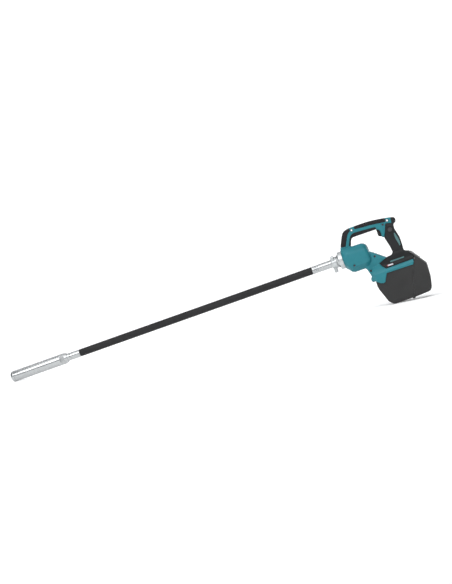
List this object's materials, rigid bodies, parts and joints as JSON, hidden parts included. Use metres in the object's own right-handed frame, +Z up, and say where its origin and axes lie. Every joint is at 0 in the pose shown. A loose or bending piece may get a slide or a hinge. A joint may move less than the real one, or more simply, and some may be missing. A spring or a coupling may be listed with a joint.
{
  "type": "cordless concrete vibrator",
  "caption": "Cordless concrete vibrator: steel poker head on a straight stiff hose, teal motor body with D-handle and pistol grip, over a battery case with a hinged door.",
  "frame": {"origin": "centre of the bounding box's base, on the floor the tool lies on", "axes": "+X from the vibrating head to the battery case, +Y to the tool's right side, +Z up; the shaft axis climbs 7.5 degrees towards +X"},
  "size_m": [1.495, 0.122, 0.2878],
  "materials": {
    "teal_housing": "satin moulded nylon",
    "black_rubber": "soft over-moulded grip",
    "black_plastic": "satin moulded plastic",
    "case_plastic": "fine textured moulding",
    "latch_grey": "moulded lever",
    "hose_rubber": "smooth extruded rubber",
    "polished_steel": "turned and polished",
    "dark_steel": "hardened, oiled",
    "aluminium": "machined casting",
    "copper": "varnished winding",
    "seal_rubber": "nitrile rubber",
    "pale_plastic": "blank plate",
    "dull_teal": "inlays let into the skin",
    "red_plastic": "moulded"
  },
  "bodies": {
    "tool_body": {"housing_left": "teal_housing", "housing_right": "teal_housing", "grip_inlay_left": "dull_teal", "grip_inlay_right": "dull_teal", "side_strip_left": "dull_teal", "side_strip_right": "dull_teal", "name_plate": "pale_plastic", "front_grip": "black_rubber", "inner_grip": "black_rubber", "top_grip": "black_rubber", "grip_left": "black_plastic", "grip_right": "black_plastic", "switch_module": "black_plastic", "battery_rail": "black_plastic", "battery_pack": "black_plastic", "case_shell": "case_plastic", "hose": "hose_rubber", "head_tip": "polished_steel", "head_tube": "polished_steel", "head_connector": "polished_steel", "shaft_ferrule": "polished_steel", "strap_eyelet_front": "polished_steel", "strap_eyelet_rear": "polished_steel", "trigger_pin": "polished_steel", "hinge_pin": "polished_steel", "head_bearing_front": "dark_steel", "head_bearing_rear": "dark_steel", "hose_liner": "dark_steel", "flange_bolt_1": "dark_steel", "flange_bolt_2": "dark_steel", "flange_bolt_3": "dark_steel", "flange_bolt_4": "dark_steel", "motor_bearing_front": "dark_steel", "motor_bearing_rear": "dark_steel", "housing_screw_1": "dark_steel", "housing_screw_2": "dark_steel", "housing_screw_3": "dark_steel", "housing_screw_4": "dark_steel", "front_flange": "aluminium", "motor_stator": "copper", "head_oring": "seal_rubber", "head_seal": "seal_rubber", "controller": "seal_rubber"},
    "motor": {"motor_rotor": "dark_steel", "motor_fan": "black_plastic", "motor_coupling": "polished_steel"},
    "flexible_core": {"shaft_core": "dark_steel", "core_tip_front": "polished_steel", "core_tip_rear": "polished_steel"},
    "eccentric": {"eccentric_weight": "dark_steel"},
    "nut": {"coupling_nut": "aluminium"},
    "trigger": {"trigger": "black_plastic"},
    "lock_button": {"lock_button": "black_rubber"},
    "door": {"case_door": "case_plastic", "door_seal": "case_plastic", "latch_pin": "polished_steel"},
    "latch": {"door_latch": "latch_grey"},
    "battery_release": {"battery_release": "red_plastic"}
  },
  "joints": [
    {"name": "motor_spin", "type": "hinge", "parent": "tool_body", "child": "motor", "pos_m": [0.51345, 0, 0.18425], "axis": [0.9914, 0, 0.1311], "continuous": true},
    {"name": "core_spin", "type": "hinge", "parent": "tool_body", "child": "flexible_core", "pos_m": [-0.0318, 0, 0.11213], "axis": [0.9914, 0, 0.1311], "continuous": true},
    {"name": "eccentric_spin", "type": "hinge", "parent": "tool_body", "child": "eccentric", "pos_m": [-0.63654, 0, 0.03214], "axis": [0.9914, 0, 0.1311], "continuous": true},
    {"name": "nut_turn", "type": "hinge", "parent": "tool_body", "child": "nut", "pos_m": [0.44306, 0, 0.17494], "axis": [0.9914, 0, 0.1311], "continuous": true},
    {"name": "trigger_pull", "type": "hinge", "parent": "tool_body", "child": "trigger", "pos_m": [0.61239, 0, 0.25987], "axis": [0, -1, 0], "range_deg": [0, 10], "stiffness_Nm_per_rad": 0.6, "springref_deg": -5.73},
    {"name": "lock_press", "type": "slide", "parent": "tool_body", "child": "lock_button", "axis": [0, 1, 0], "range_m": [0, 0.003], "stiffness_N_per_m": 300, "springref_m": -0.001},
    {"name": "door_open", "type": "hinge", "parent": "tool_body", "child": "door", "pos_m": [0.68177, 0, 0.00981], "axis": [0, 1, 0], "range_deg": [0, 100]},
    {"name": "latch_lift", "type": "hinge", "parent": "door", "child": "latch", "pos_m": [0.72309, 0, 0.13441], "axis": [0, 1, 0], "range_deg": [0, 60]},
    {"name": "release_press", "type": "slide", "parent": "tool_body", "child": "battery_release", "axis": [0.1311, 0, -0.9914], "range_m": [0, 0.0015], "stiffness_N_per_m": 300, "springref_m": -0.001}
  ],
  "couplings": [
    {"joint": "core_spin", "follows": "motor_spin", "ratio": 1},
    {"joint": "eccentric_spin", "follows": "motor_spin", "ratio": 1}
  ]
}
